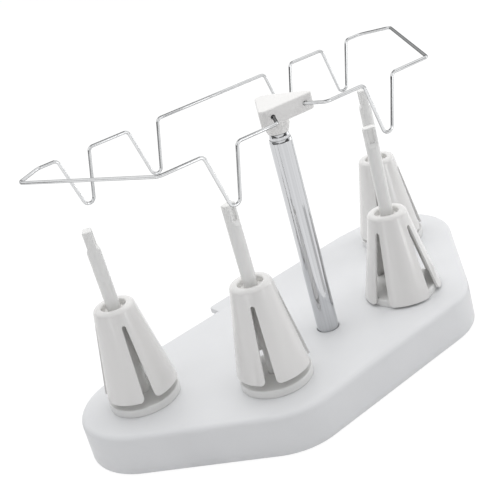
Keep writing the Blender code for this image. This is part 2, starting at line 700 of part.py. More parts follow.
def make_guide(into):
    pivot = bpy.data.objects.new("guide_pivot", None)
    into.objects.link(pivot)
    pivot.rotation_euler.z = GUIDE_TURN

    outside, face, inward = wire_entry()
    tip = face + inward * WIRE_IN_HOLDER
    right = [(tip, 0), (outside, WIRE_BEND)]
    right += loop_corners(FRONT_LOOP_X, WIRE_FRONT_Y, 1)
    right += [
        (Vector((WIRE_FRONT_END_X, WIRE_FRONT_Y, WIRE_Z)), 4.5 * MM),
        (Vector((WIRE_END_X, WIRE_END_Y, WIRE_Z)), 4.0 * MM),
        (Vector((WIRE_SHOULDER_X, WIRE_BACK_Y, WIRE_Z)), 8.0 * MM),
    ]
    right += loop_corners(BACK_OUTER_LOOP_X, WIRE_BACK_Y, -1)
    right += loop_corners(BACK_INNER_LOOP_X, WIRE_BACK_Y, -1)
    left = [(Vector((-p.x, p.y, p.z)), r) for p, r in reversed(right)]
    corners = right + left
    path = rounded([p for p, r in corners], [r for p, r in corners], steps=4)
    curve = bpy.data.curves.new("thread_guide_wire", "CURVE")
    curve.dimensions = "3D"
    curve.bevel_depth = WIRE_RADIUS
    curve.bevel_resolution = 2
    curve.use_fill_caps = True
    spline = curve.splines.new("POLY")
    spline.points.add(len(path) - 1)
    for point, place in zip(spline.points, path):
        point.co = (*place, 1)
    wire = bpy.data.objects.new("thread_guide_wire", curve)
    into.objects.link(wire)
    dress(wire, CHROME, pivot)

    side = HOLDER_HALF_WIDTH - HOLDER_CORNER
    front = HOLDER_FRONT_Y + HOLDER_CORNER
    circles = [(-side, front, HOLDER_CORNER), (side, front, HOLDER_CORNER), (0.0, HOLDER_BACK_Y, HOLDER_BACK_RADIUS)]
    outline = hull_of_circles(circles, sides=32)
    holder = gather("guide_holder", [(flat_solid(outline, HOLDER_BOTTOM, HOLDER_TOP), Matrix())], into)
    soften(holder, HOLDER_ROUND, on_level(HOLDER_TOP), segments=2)
    bore = INNER_RADIUS + TOUCH
    neck_low = bore + 0.7 * MM
    shoulder = NECK_BOTTOM + NECK_TAPER
    neck = drum(neck_low, NECK_BOTTOM, shoulder, top_radius=NECK_RADIUS, sides=28)
    throat = drum(NECK_RADIUS, shoulder, HOLDER_BOTTOM + 1 * MM, sides=28)
    add(holder, [(neck, Matrix())])
    collar = gather("guide_holder_collar", [(throat, Matrix())], CUTTERS)
    collar.parent = holder
    boolean(holder, collar, "UNION")
    holes = [(drum(bore, NECK_BOTTOM - 5 * MM, HOLDER_TOP - HOLDER_ROOF, sides=28), Matrix())]
    way = drum(WIRE_RADIUS + TOUCH, -WIRE_IN_HOLDER - TOUCH, 12 * MM, sides=12)
    for sign in (-1, 1):
        out = Vector((-sign * inward.x, -inward.y, 0))
        turn = out.to_track_quat("Z", "Y").to_matrix().to_4x4()
        holes.append((way, at(sign * face.x, face.y, face.z) @ turn))
    cut(holder, holes)
    dress(holder, WHITE_SATIN, pivot)


clear_scene()
STAND = make_collection("thread_spool_stand")
CUTTERS = make_collection("cutters", hidden=True)
WHITE_SATIN = make_material("white_satin_plastic", (229, 231, 233), 0.42)
WHITE_GLOSS = make_material("white_gloss_plastic", (238, 238, 236), 0.16)
GREY_MATT = make_material("grey_matt_plastic", (196, 198, 200), 0.6)
BLACK_PLASTIC = make_material("black_acetal_plastic", (38, 38, 40), 0.4)
RUBBER = make_material("grey_rubber", (92, 92, 94), 0.85)
CHROME = make_material("polished_chrome", (214, 215, 218), 0.08, 1.0)
STEEL = make_material("zinc_plated_steel", (176, 178, 180), 0.32, 1.0)

make_base(STAND)
make_pole(STAND)
for index, (pin_x, pin_y) in enumerate(PINS, 1):
    make_pin(index, pin_x, pin_y, STAND)
    make_disc(index, pin_x, pin_y, STAND)
    make_cone(index, pin_x, pin_y, STAND)
make_guide(STAND)
bpy.context.view_layer.update()
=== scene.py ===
# %% [markdown]
# # A thread spool stand in white plastic and chrome
#
# The stand holds four spools of thread for sewing. It has a flat base with four pins. A split cone
# holder slides on each pin and grips the spool. A telescopic pole carries a bent wire guide, and
# the threads rise through its loops.
#
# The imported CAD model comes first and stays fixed. Every piece made here lies where the CAD has it,
# so the sizes below are the CAD's own, in millimetres.

# %% Load the frame
import math

import bmesh
import bpy
import numpy as np
from mathutils import Matrix, Vector


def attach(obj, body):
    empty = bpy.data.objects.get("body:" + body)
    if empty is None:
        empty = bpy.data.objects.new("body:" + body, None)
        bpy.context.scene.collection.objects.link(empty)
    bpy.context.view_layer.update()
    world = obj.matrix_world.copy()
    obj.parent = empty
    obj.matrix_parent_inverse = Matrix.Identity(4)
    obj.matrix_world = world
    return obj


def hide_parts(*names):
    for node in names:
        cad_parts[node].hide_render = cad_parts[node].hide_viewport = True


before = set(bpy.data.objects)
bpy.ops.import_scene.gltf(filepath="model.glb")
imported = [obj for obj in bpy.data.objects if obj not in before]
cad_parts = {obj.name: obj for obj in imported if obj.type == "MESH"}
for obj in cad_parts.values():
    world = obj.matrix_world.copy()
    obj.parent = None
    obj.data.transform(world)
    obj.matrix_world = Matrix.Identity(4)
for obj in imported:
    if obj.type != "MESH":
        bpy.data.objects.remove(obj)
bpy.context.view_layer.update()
MM = 0.001

# %% [markdown]
# ## Tools for surfaces
#
# Most pieces are a grid of points: one direction runs round the piece, the other runs along its
# section. The grid is worked out with numpy for the whole piece at once. One function then turns
# any grid into a mesh, closes its seams and poles, and points its faces outwards.

# %% Grid to mesh
def piece_from_grid(name, grid, wrap_round=True, wrap_section=False, crease=35):
    """A mesh from points[section, round, xyz] in mm. Each face joins four neighbours, and a wrapped side
    also joins its two ends."""
    assert np.isfinite(grid).all(), f"{name} has a point that isn't a number"
    rows, columns, _ = grid.shape
    row = np.arange(rows if wrap_section else rows - 1)
    column = np.arange(columns if wrap_round else columns - 1)
    row, column = np.meshgrid(row, column, indexing="ij")
    next_row = (row + 1) % rows
    next_column = (column + 1) % columns
    corners = [
        row * columns + column,
        row * columns + next_column,
        next_row * columns + next_column,
        next_row * columns + column,
    ]
    faces = np.stack(corners, axis=-1).reshape(-1, 4)
    mesh = bpy.data.meshes.new(name)
    mesh.from_pydata((grid.reshape(-1, 3) * MM).tolist(), [], faces.tolist())
    return finish_mesh(name, mesh, crease)


def finish_mesh(name, mesh, crease):
    """Merges doubles, drops faces that lost their area, turns the faces outwards and shades by angle."""
    shape = bmesh.new()
    shape.from_mesh(mesh)
    bmesh.ops.remove_doubles(shape, verts=shape.verts, dist=1e-7)
    bmesh.ops.recalc_face_normals(shape, faces=shape.faces)
    shape.to_mesh(mesh)
    shape.free()
    mesh.shade_smooth()
    mesh.set_sharp_from_angle(angle=math.radians(crease))
    piece = bpy.data.objects.new(name, mesh)
    bpy.context.scene.collection.objects.link(piece)
    return piece


def arms(before, corner, after):
    """Unit vectors from a corner back to the one before it and ahead to the one after it."""
    back, ahead = before - corner, after - corner
    return back / np.linalg.norm(back), ahead / np.linalg.norm(ahead)


def rounded(corner, back, ahead, radius, steps):
    """The arc that rounds a corner: its centre plus a mix, by sines, of the arms to the arc's two ends."""
    half = math.acos(np.clip(back @ ahead, -1, 1)) / 2
    middle = (back + ahead) / np.linalg.norm(back + ahead)
    centre = corner + middle * radius / math.sin(half)
    start = corner + back * radius / math.tan(half) - centre
    end = corner + ahead * radius / math.tan(half) - centre
    sweep = math.pi - 2 * half
    t = np.linspace(0, 1, steps + 1)[:, None]
    return centre + (start * np.sin((1 - t) * sweep) + end * np.sin(t * sweep)) / math.sin(sweep)


def soft_corners(corners, radii, steps=6):
    """A flat path (across, up) in which each corner with a radius becomes an arc. A corner without one,
    or on a straight line, stays a point."""
    corners = np.asarray(corners, float)
    path = []
    for i, (corner, radius) in enumerate(zip(corners, radii)):
        back, ahead = arms(corners[i - 1], corner, corners[(i + 1) % len(corners)])
        pointed = radius <= 0 or np.linalg.norm(back + ahead) < 1e-6
        path.append(corner[None] if pointed else rounded(corner, back, ahead, radius, steps))
    return np.concatenate(path)


def turned(name, profile, x=0.0, y=0.0, around=96, closed=False, crease=35):
    """A lathe surface. Each profile point (radius, z) goes round the axis: (x + r cos a, y + r sin a, z)."""
    angle = np.linspace(0, 2 * math.pi, around, endpoint=False)
    radius = profile[:, :1]
    height = np.repeat(profile[:, 1:], around, axis=1)
    grid = np.stack([x + radius * np.cos(angle), y + radius * np.sin(angle), height], axis=-1)
    return piece_from_grid(name, grid, wrap_section=closed, crease=crease)


print("surface tools ready")

# %% [markdown]
# ## Tools for materials
#
# Colours are written as the sRGB hex values that a picture would show. Blender's shaders work in
# linear light, so one function converts them. A second small function adds any node, sets it up and
# links it.

# %% Colour and node helpers
def linear(hex_colour):
    """sRGB hex to linear light: c / 12.92 when dark, ((c + 0.055) / 1.055) ** 2.4 otherwise."""
    channels = [int(hex_colour[i : i + 2], 16) / 255 for i in (1, 3, 5)]
    return [c / 12.92 if c <= 0.04045 else ((c + 0.055) / 1.055) ** 2.4 for c in channels] + [1.0]


def add_node(tree, kind, settings=None, links=None):
    """Adds a node. Settings name its properties or sockets, and links say which output feeds a socket."""
    node = tree.nodes.new(kind)
    for key, value in (settings or {}).items():
        if hasattr(node, key):
            setattr(node, key, value)
        else:
            node.inputs[key].default_value = value
    for key, output in (links or {}).items():
        tree.links.new(output, node.inputs[key])
    return node


def new_material(name, sockets):
    """An empty Principled material with constant values set on the shader's own sockets."""
    material = bpy.data.materials.new(name)
    material.use_nodes = True
    tree = material.node_tree
    shader = tree.nodes["Principled BSDF"]
    for key, value in sockets.items():
        shader.inputs[key].default_value = value
    return material, tree, shader


print("example: #E2E4E6 is", [round(c, 3) for c in linear("#E2E4E6")[:3]])

# %% [markdown]
# ## Moulded white ABS, satin
#
# The base cover and the guide's holder are injection moulded ABS with a fine spark-eroded texture.
# That gives a broad, soft sheen. The texture's grain is about 0.25 mm, and a faint cloudiness a few
# centimetres across keeps the large flat top from looking like paper.

# %% Satin ABS
def satin_abs(name, colour, cloudy, roughness):
    """Colour drifts between two near whites, and a fine grain lifts the surface by a few micrometres."""
    clouds_per_m, grains_per_m, grain_height = 28.0, 4000.0, 0.00002
    material, tree, shader = new_material(name, {"Roughness": roughness, "IOR": 1.5})
    place = add_node(tree, "ShaderNodeTexCoord").outputs["Object"]
    clouds = add_node(tree, "ShaderNodeTexNoise", {"Scale": clouds_per_m, "Detail": 3.0}, {"Vector": place})
    ramp = add_node(tree, "ShaderNodeValToRGB", None, {"Fac": clouds.outputs["Fac"]})
    for stop, position, tone in zip(ramp.color_ramp.elements, (0.3, 0.7), (cloudy, colour)):
        stop.position = position
        stop.color = linear(tone)
    tree.links.new(ramp.outputs["Color"], shader.inputs["Base Color"])
    grain = add_node(tree, "ShaderNodeTexNoise", {"Scale": grains_per_m, "Detail": 2.0}, {"Vector": place})
    lift = {"Strength": 0.12, "Distance": grain_height}
    bump = add_node(tree, "ShaderNodeBump", lift, {"Height": grain.outputs["Fac"]})
    tree.links.new(bump.outputs["Normal"], shader.inputs["Normal"])
    return material


base_abs = satin_abs("satin_moulded_abs_base", "#E4E5E6", "#E1E2E3", 0.42)
holder_abs = satin_abs("satin_moulded_abs_holder", "#EBEAE8", "#E8E7E5", 0.36)
print("made", base_abs.name, "and", holder_abs.name)

# %% [markdown]
# ## Moulded white ABS, polished
#
# The pins, discs and cone holders come from polished mould halves. The surface is glossy, but a
# thin wall shrinks a little as it cools, so its reflections wander. A low swell of about 9 mm gives
# that.

# %% Polished ABS
def polished_abs(name, colour, roughness, swell_height):
    """Glossy plastic with a thin clear gloss on top, whose surface swells by swell_height metres."""
    swells_per_m = 110.0
    gloss = {"Roughness": roughness, "IOR": 1.52, "Coat Weight": 0.25, "Coat Roughness": 0.06}
    material, tree, shader = new_material(name, gloss)
    shader.inputs["Base Color"].default_value = linear(colour)
    place = add_node(tree, "ShaderNodeTexCoord").outputs["Object"]
    swell = add_node(tree, "ShaderNodeTexNoise", {"Scale": swells_per_m, "Detail": 1.0}, {"Vector": place})
    lift = {"Strength": 0.5, "Distance": swell_height}
    bump = add_node(tree, "ShaderNodeBump", lift, {"Height": swell.outputs["Fac"]})
    tree.links.new(bump.outputs["Normal"], shader.inputs["Normal"])
    return material


cone_abs = polished_abs("polished_moulded_abs_cones", "#E9E8E6", 0.15, 0.00016)
pin_abs = polished_abs("polished_moulded_abs_pins", "#EAEAE8", 0.26, 0.0002)
disc_abs = polished_abs("polished_moulded_abs_discs", "#EAEAE8", 0.3, 0.0002)
print("made", cone_abs.name, pin_abs.name, disc_abs.name)

# %% [markdown]
# ## Bright chrome plate
#
# The pole's tubes and the guide wire are steel with a bright chrome plate. Chrome gives back a
# little over half of the light, and it shows what is round it: a white studio with a few dark
# edges. The tubes are drawn through a die, which leaves faint straight lines along them. They
# spread each reflection into thin streaks, and the plate's colour is painted a little darker and
# lighter along them as painted reflection streaks. The wire is smooth, with fainter painted
# streaks. Its dark specular tint darkens what it gives back at a grazing angle: painted shade that
# keeps dark edges on the thin wire against white.

# %% Chrome
def chrome_plate(name, pale, dark, roughness, across_mm, along_mm, lift):
    """Noise stretched along z: its grains are across_mm wide and along_mm long. It paints the plate a
    little darker and lighter, as painted reflection streaks, and lifts it with the strength given by
    lift. A wider haze varies the roughness."""
    haze_per_m, line_height = 90.0, 0.00002
    material, tree, shader = new_material(name, {"Metallic": 1.0})
    place = add_node(tree, "ShaderNodeTexCoord").outputs["Object"]
    grains = {"Scale": (1000.0 / across_mm, 1000.0 / across_mm, 1000.0 / along_mm)}
    stretch = add_node(tree, "ShaderNodeMapping", grains, {"Vector": place}).outputs["Vector"]
    lines = add_node(tree, "ShaderNodeTexNoise", {"Scale": 1.0, "Detail": 2.0}, {"Vector": stretch})
    # The ramp paints the lines darker and lighter in the plate's colour: painted reflection streaks.
    ramp = add_node(tree, "ShaderNodeValToRGB", None, {"Fac": lines.outputs["Fac"]})
    for stop, position, tone in zip(ramp.color_ramp.elements, (0.3, 0.6), (dark, pale)):
        stop.position = position
        stop.color = linear(tone)
    tree.links.new(ramp.outputs["Color"], shader.inputs["Base Color"])
    haze = add_node(tree, "ShaderNodeTexNoise", {"Scale": haze_per_m, "Detail": 2.0}, {"Vector": place})
    ends = {"To Min": roughness * 0.7, "To Max": roughness * 1.3}
    span = add_node(tree, "ShaderNodeMapRange", ends, {"Value": haze.outputs["Fac"]})
    tree.links.new(span.outputs["Result"], shader.inputs["Roughness"])
    raised = {"Strength": lift, "Distance": line_height}
    bump = add_node(tree, "ShaderNodeBump", raised, {"Height": lines.outputs["Fac"]})
    tree.links.new(bump.outputs["Normal"], shader.inputs["Normal"])
    return material


# The two tones of each plate are its painted reflection streaks.
tube_chrome = chrome_plate("bright_chrome_plate_tubes", "#CFD0D2", "#C3C4C6", 0.06, 1.6, 400.0, 0.12)
wire_chrome = chrome_plate("bright_chrome_plate_wire", "#DFE0E1", "#D8D9DA", 0.05, 3.0, 12.0, 0.0)
# A dark specular tint: painted shade on the wire's grazing edges.
wire_shader = wire_chrome.node_tree.nodes["Principled BSDF"]
wire_shader.inputs["Specular Tint"].default_value = (0.15, 0.15, 0.15, 1)
print("made", tube_chrome.name, wire_chrome.name)

# %% [markdown]
# ## Small materials under and inside the stand
#
# The bottom plate is plain matt ABS, the feet are moulded rubber, the screws are zinc plated and
# the bushes in the tubes are black acetal. Little of them shows, but each gets the finish of the
# real thing.

# %% Plate, rubber, zinc and acetal
def grained(name, dark, pale, roughness, grain_mm, metallic=0.0):
    """Colour varies, and the surface lifts, with a noise whose grains are about grain_mm across."""
    material, tree, shader = new_material(name, {"Metallic": metallic, "Roughness": roughness})
    place = add_node(tree, "ShaderNodeTexCoord").outputs["Object"]
    grain = {"Scale": 1000.0 / grain_mm, "Detail": 3.0}
    noise = add_node(tree, "ShaderNodeTexNoise", grain, {"Vector": place}).outputs["Fac"]
    ramp = add_node(tree, "ShaderNodeValToRGB", None, {"Fac": noise})
    for stop, tone in zip(ramp.color_ramp.elements, (dark, pale)):
        stop.color = linear(tone)
    tree.links.new(ramp.outputs["Color"], shader.inputs["Base Color"])
    bump = add_node(tree, "ShaderNodeBump", {"Strength": 0.2, "Distance": 0.00005}, {"Height": noise})
    tree.links.new(bump.outputs["Normal"], shader.inputs["Normal"])
    return material


plate_abs = grained("matt_moulded_abs_plate", "#C6C8CA", "#CDCFD0", 0.62, 0.6)
foot_rubber = grained("moulded_rubber_feet", "#5A5A5C", "#666668", 0.85, 0.8)
screw_zinc = grained("zinc_plated_steel_screws", "#A9ABAD", "#BDBFC1", 0.3, 0.5, metallic=1.0)
bush_acetal = grained("black_acetal_bushes", "#1E1E20", "#29292B", 0.4, 0.7)
carried = {
    "base_bottom_plate": plate_abs,
    "rubber_foot": foot_rubber,
    "cover_screw": screw_zinc,
    "pin_screw": screw_zinc,
    "pole_screw": screw_zinc,
    "pole_plug": base_abs,
    "middle_tube_bush": bush_acetal,
    "inner_tube_bush": bush_acetal,
}
for node_name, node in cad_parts.items():
    for start, material in carried.items():
        if node_name.startswith(start):
            node.data.materials.clear()
            node.data.materials.append(material)
print("carried CAD nodes:", sum(n.startswith(tuple(carried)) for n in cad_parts))

# %% [markdown]
# ## The sizes that the pieces share
#
# The base's plan is a band stretched round circles: one on each pin, and two more that push the
# long back side out a little. All heights are above the underside.

# %% Shared sizes
BASE_TOP = 25.5
BASE_WALL = 2.4
CORNER = 41.0
DRAFT = 0.5
PINS = np.array([[-111.35, 46.6], [-55.35, -13.8], [55.35, -13.8], [111.35, 46.6]])
PIN_RADIUS = 4.1
PIN_BORE = PIN_RADIUS + 0.3
PIN_TOP = BASE_TOP + 112.5
WIRE_RADIUS = 1.0
LOOP_DROP = 31.7
WIRE_FRONT, WIRE_BACK = -30.2, 69.6
WIRE_Z = PIN_TOP + 0.33 + WIRE_RADIUS + LOOP_DROP
HOLDER_TOP = WIRE_Z + 5.0
NECK_BOTTOM = HOLDER_TOP - 20.0
MIDDLE_TOP = NECK_BOTTOM - 0.3
POLE_TOP = MIDDLE_TOP - 3.3
GUIDE_TURN = math.radians(-7.0)
WIRE_KINK = np.array([16.8, WIRE_FRONT, WIRE_Z])
WIRE_ENTRY = np.array([10.7, -17.5, WIRE_Z])
WIRE_INWARD = (WIRE_ENTRY - WIRE_KINK) / np.linalg.norm(WIRE_ENTRY - WIRE_KINK)


def dress(piece, material, body, slot, *nodes):
    """Gives a finished piece its material and body, and hides the CAD nodes that it stands for, if any.
    The slot is not used.
    """
    piece.data.materials.clear()
    piece.data.materials.append(material)
    if nodes:
        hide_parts(*nodes)
    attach(piece, body)
    return piece


def turn_about_pole(points, angle):
    """Turns (x, y) about the pole: (x cos a - y sin a, x sin a + y cos a)."""
    c, s = math.cos(angle), math.sin(angle)
    return points @ np.array([[c, s, 0], [-s, c, 0], [0, 0, 1]])


print("wire height", round(WIRE_Z, 2), "pole top", round(POLE_TOP, 2))

# %% [markdown]
# ## A band round circles
#
# The base, its tab and the guide's holder all have plans made of arcs joined by straight lines.
# Each outline point is a centre plus a radius along an outward direction. To shrink the outline by
# an inset, only the radius changes, so a rounded edge is a stack of the same outline with growing
# insets.

# %% Outlines
def band(circles, arc_steps=24, line_steps=10):
    """Centres, directions and radii of an outline stretched anticlockwise round circles (x, y, radius)."""
    circles = np.asarray(circles, float)
    count = len(circles)
    normals = []
    for i in range(count):
        a, b = circles[i], circles[(i + 1) % count]
        way = b[:2] - a[:2]
        normals.append(math.atan2(way[1], way[0]) - math.acos((a[2] - b[2]) / np.linalg.norm(way)))
    rows = []
    for i in range(count):
        start = normals[i - 1]
        sweep = (normals[i] - start) % (2 * math.pi)
        angle = start + sweep * np.linspace(0, 1, arc_steps + 1)
        fixed = [np.full_like(angle, value) for value in circles[i]]
        arc = np.stack(fixed + [np.cos(angle), np.sin(angle)], axis=-1)
        rows.append(arc)
        t = np.linspace(0, 1, line_steps + 1)[1:-1, None]
        onward = circles[(i + 1) % count]
        here, there = (np.concatenate([circle, arc[-1, 3:]]) for circle in (circles[i], onward))
        rows.append(here * (1 - t) + there * t)
    rows = np.concatenate(rows)
    return rows[:, :2], rows[:, 2:3], rows[:, 3:5]


def stacked(outline, section):
    """Rings of an outline. Each (inset, z) of the section gives centre + (radius - inset) * direction."""
    centre, radius, direction = outline
    inset = section[:, 0][:, None, None]
    flat = centre + (radius - inset) * direction
    height = np.broadcast_to(section[:, 1][:, None, None], flat.shape[:2] + (1,))
    return np.concatenate([flat, height], axis=-1)


def pad(name, outline, low, high, edge, steps=5, crease=35):
    """A slab with rounded edges: rings from the top's middle over both edges to the bottom's middle."""
    angle = np.linspace(0, math.pi / 2, steps + 1)
    upper = np.stack([edge - edge * np.sin(angle), high - edge + edge * np.cos(angle)], axis=-1)
    lower = np.stack([edge - edge * np.cos(angle), low + edge - edge * np.sin(angle)], axis=-1)
    rings = stacked(outline, np.concatenate([upper, lower]))
    middle = rings[0].mean(axis=0)
    caps = [np.broadcast_to([middle[0], middle[1], z], rings[0].shape) for z in (high, low)]
    grid = np.concatenate([caps[0][None], rings, caps[1][None]])
    return piece_from_grid(name, grid, crease=crease)


BACK_SIDE = [[95.0, 49.1], [-95.0, 49.1]]
base_centres = [*PINS[[1, 2, 3]], *BACK_SIDE, PINS[0]]
base_outline = band([[x, y, CORNER] for x, y in base_centres], 30, 14)
print("base outline has", len(base_outline[0]), "points")


def base_rings(section):
    """Rings of the base's outline, whose sides lean in: radius + draft * (1 - z / height) - inset."""
    inset = section[:, :1] - DRAFT * (1 - section[:, 1:] / BASE_TOP)
    return stacked(base_outline, np.concatenate([inset, section[:, 1:]], axis=1))

# %% [markdown]
# ## The base cover
#
# The cover is a hollow moulding with an even wall. Its section goes up out of the hole for the
# pole, across the top, over the rounded edge, down the side, round the lower lip and back up the
# inside. The same outline carries every ring, and near the pole the rings turn into circles.

# %% Base cover
def base_cover():
    """Closed section of rings. A ring at share s lies between the outline and a circle round the pole."""
    round_edge, lip_height, side_middle = 3.5, 5.0, 12.0
    hole, hub, hub_foot = 7.0, 10.6, 9.0
    under = BASE_TOP - BASE_WALL
    angle = np.linspace(0, math.pi / 2, 9)
    inward = round_edge * (1 - np.sin(angle))
    fillet = np.stack([inward, BASE_TOP - round_edge * (1 - np.cos(angle))], axis=-1)
    lip_corners = [[0.0, lip_height], [0.0, 0.0], [BASE_WALL, 0.0], [BASE_WALL, lip_height]]
    lip = soft_corners(lip_corners, [0, 0.7, 0.5, 0], 3)
    outside = base_rings(np.concatenate([fillet, [[0.0, side_middle]], lip, [[BASE_WALL, under]]]))
    centre, radius, direction = base_outline
    edge = centre + (radius - round_edge) * direction
    bearing = edge / np.linalg.norm(edge, axis=1, keepdims=True)

    def ring(r, z):
        return np.concatenate([bearing * r, np.full((len(edge), 1), z)], axis=-1)

    share = np.linspace(0, 1, 9)[1:-1, None, None]
    top = np.concatenate([edge, np.full((len(edge), 1), BASE_TOP)], axis=-1)
    across = ring(hole + 1.0, BASE_TOP) * (1 - share) + top * share
    inside = [ring(hub, under), ring(hub, hub_foot), ring(hole, hub_foot), ring(hole, BASE_TOP - 0.5)]
    mouth = [ring(hole + 0.15, BASE_TOP - 0.15), ring(hole + 0.5, BASE_TOP), ring(hole + 1.0, BASE_TOP)]
    grid = np.concatenate([np.stack(inside + mouth), across, outside])
    return piece_from_grid("base_cover_shell", grid, wrap_section=True)


def back_tab():
    """A flat tab with four small round corners. Its top is just under the cover's, so that no faces meet."""
    half_width, front, back, corner, thickness = 22.0, 82.0, 99.6, 3.0, 4.0
    side, near, far = half_width - corner, front + corner, back - corner
    circles = [[-side, near, corner], [side, near, corner], [side, far, corner], [-side, far, corner]]
    return pad("base_back_tab", band(circles, 10, 6), BASE_TOP - thickness, BASE_TOP - 0.01, 0.8)


dress(base_cover(), base_abs, "base", "white_satin_plastic", "base_cover")
dress(back_tab(), base_abs, "base", "white_satin_plastic")
print("cover and tab made")

# %% [markdown]
# ## Discs and pins
#
# Each pin stands in the middle of a low disc. The pin's top 10 mm has two flats with a slope under
# each, so that a spool slips over it easily, and each flat has a shallow pocket where the moulding
# is cored out. The pin is one grid of circles. Where a flat is, the distance from the middle plane
# is held to the flat's own.

# %% Discs
DISC_RADIUS, DISC_HEIGHT, DISC_GAP = 21.8, 5.0, 0.05
disc_corners = [
    [PIN_BORE, BASE_TOP + DISC_HEIGHT],
    [DISC_RADIUS, BASE_TOP + DISC_HEIGHT],
    [DISC_RADIUS, BASE_TOP + DISC_GAP],
    [PIN_BORE, BASE_TOP + DISC_GAP],
]
disc_section = soft_corners(disc_corners, [0, 0.8, 0.3, 0], 5)
for number, (x, y) in enumerate(PINS, 1):
    disc = turned(f"disc_{number}", disc_section, x, y, around=128, closed=True)
    dress(disc, disc_abs, "base", "white_gloss_plastic", f"spool_disc_{number}")
print("four discs made")


# %% Pins
def soft_lower(a, b, soft):
    """The lower of a and b, with the corner between them rounded over a width of soft."""
    h = np.clip(0.5 + 0.5 * (b - a) / soft, 0, 1)
    return b + (a - b) * h - soft * h * (1 - h)


def gentle(t):
    """0 below 0, 1 above 1 and 3 t^2 - 2 t^3 between."""
    t = np.clip(t, 0, 1)
    return t * t * (3 - 2 * t)


def spool_pin(name, x, y, turn):
    """x = r cos a and y = r sin a, but |x| is held to the flat's distance. On the slope that distance grows
    to the radius, and in the pocket it is less by the pocket's depth."""
    flat, slope = 2.6, 2.4
    pocket_half_width, pocket_depth, pocket_edge = 1.8, 1.1, 0.5
    top_edge, head_radius, foot = 0.5, 3.4, 15.3
    shoulder = PIN_TOP - 10.5
    pocket_low, pocket_high = PIN_TOP - 9.9, PIN_TOP - 1.3
    corner = math.sqrt(PIN_RADIUS**2 - flat**2)
    across = [0, 0.8, 1.3, 1.4, 1.5, 1.6, 1.7, 1.8, 2.1, 2.6, 2.9, 3.05, corner, 3.3, 3.45, 3.6]
    quarter = np.arcsin(np.array(across) / PIN_RADIUS)
    face = np.concatenate([-quarter[:0:-1], quarter])
    side = np.linspace(quarter[-1], math.pi - quarter[-1], 11)[1:-1]
    angle = np.concatenate([face, side, face + math.pi, side + math.pi])
    edge_rows = [-0.25, -0.15, -0.05, 0.05, 0.15, 0.25]
    z = np.concatenate(
        [
            [foot, 40.0, 90.0],
            shoulder + np.array([-2.9, -2.6, -2.4, -2.2, -1.6, -0.8, -0.2, -0.1, 0.0, 0.1, 0.3]),
            pocket_low + np.array(edge_rows),
            pocket_high + np.array([-4.0] + edge_rows),
            PIN_TOP - top_edge * (1 - np.sin(np.linspace(0, math.pi / 2, 6))),
        ]
    )[:, None]
    limit = np.maximum(flat, flat + (PIN_RADIUS - flat) * (shoulder - z) / slope)
    px, py = PIN_RADIUS * np.cos(angle) + 0 * z, PIN_RADIUS * np.sin(angle) + 0 * z
    held = soft_lower(np.abs(px), limit, 0.25)
    pocket = gentle((pocket_half_width - np.abs(py)) / pocket_edge) * (np.abs(px) > flat)
    pocket = pocket * gentle((z - pocket_low) / pocket_edge + 0.5)
    pocket = pocket * gentle((pocket_high - z) / pocket_edge + 0.5)
    held = held - pocket_depth * pocket
    over = np.clip(z - (PIN_TOP - top_edge), 0, top_edge)
    shrink = 1 - (top_edge - np.sqrt(top_edge**2 - over**2)) / head_radius
    grid = np.stack([np.sign(px) * held * shrink, py * shrink, z + 0 * px], axis=-1)
    ends = [np.broadcast_to([0.0, 0.0, h], grid[0].shape)[None] for h in (foot, PIN_TOP)]
    grid = turn_about_pole(np.concatenate([ends[0], grid, ends[1]]), turn) + [x, y, 0]
    return piece_from_grid(name, grid, crease=32)


HEAD_TURN = np.radians([-33.0, -75.0, -120.0, -33.0])
for number, ((x, y), turn) in enumerate(zip(PINS, HEAD_TURN), 1):
    pin = spool_pin(f"pin_{number}", x, y, turn)
    dress(pin, pin_abs, "base", "white_gloss_plastic", f"spool_pin_{number}")
print("four pins made")

# %% [markdown]
# ## Cone holders
#
# A cone holder is a thin bell, split by four slits into springy petals. It is easiest to see as one
# sheet that goes from the collar on the pin, out along a web, up the mouth, over the rim and down
# the outside. The grid has four quarters. Above the slits they meet, and below they pull back from
# each other by the slit's half width. Solidify gives the wall and Bevel rounds its edges. The third
# holder is pushed down, so its petals spread over the disc.

# %% Cone holders
LENGTH = 55.5
TOP_RADIUS = 12.7
FOOT = 22.3
PETAL_WALL = 1.5
PETAL_CORNER = 2.8
SLIT_START = 9.0
SLIT_HALF = 1.2
SLIT_FOOT = 7.0


def cone_radius(depth, splay):
    """Outer radius below the rim: an almost straight flare, plus the petals' spread below the slits' top."""
    share = np.clip((depth - 3.0) / (LENGTH - 3.0), 0, 1)
    flare = TOP_RADIUS + (FOOT - TOP_RADIUS) * (0.97 * share + 0.03 * share**2)
    return flare + splay * np.clip((depth - SLIT_START) / (LENGTH - SLIT_START), 0, None)


def slit_half_width(depth, foot_width):
    """Half-round start, then a steady widening, then a rounded flare at the petal's corner."""
    along = depth - SLIT_START
    widening = SLIT_HALF + (foot_width / 2 - SLIT_HALF) * np.clip(along / (LENGTH - SLIT_START), 0, 1)
    start = np.sqrt(np.clip(1 - (1 - np.clip(along / SLIT_HALF, 0, 1)) ** 2, 0, 1))
    low = np.clip((depth - (LENGTH - PETAL_CORNER)) / PETAL_CORNER, 0, 1)
    return np.where(along <= 0, 0.0, widening * start + PETAL_CORNER * (1 - np.sqrt(1 - low**2)))


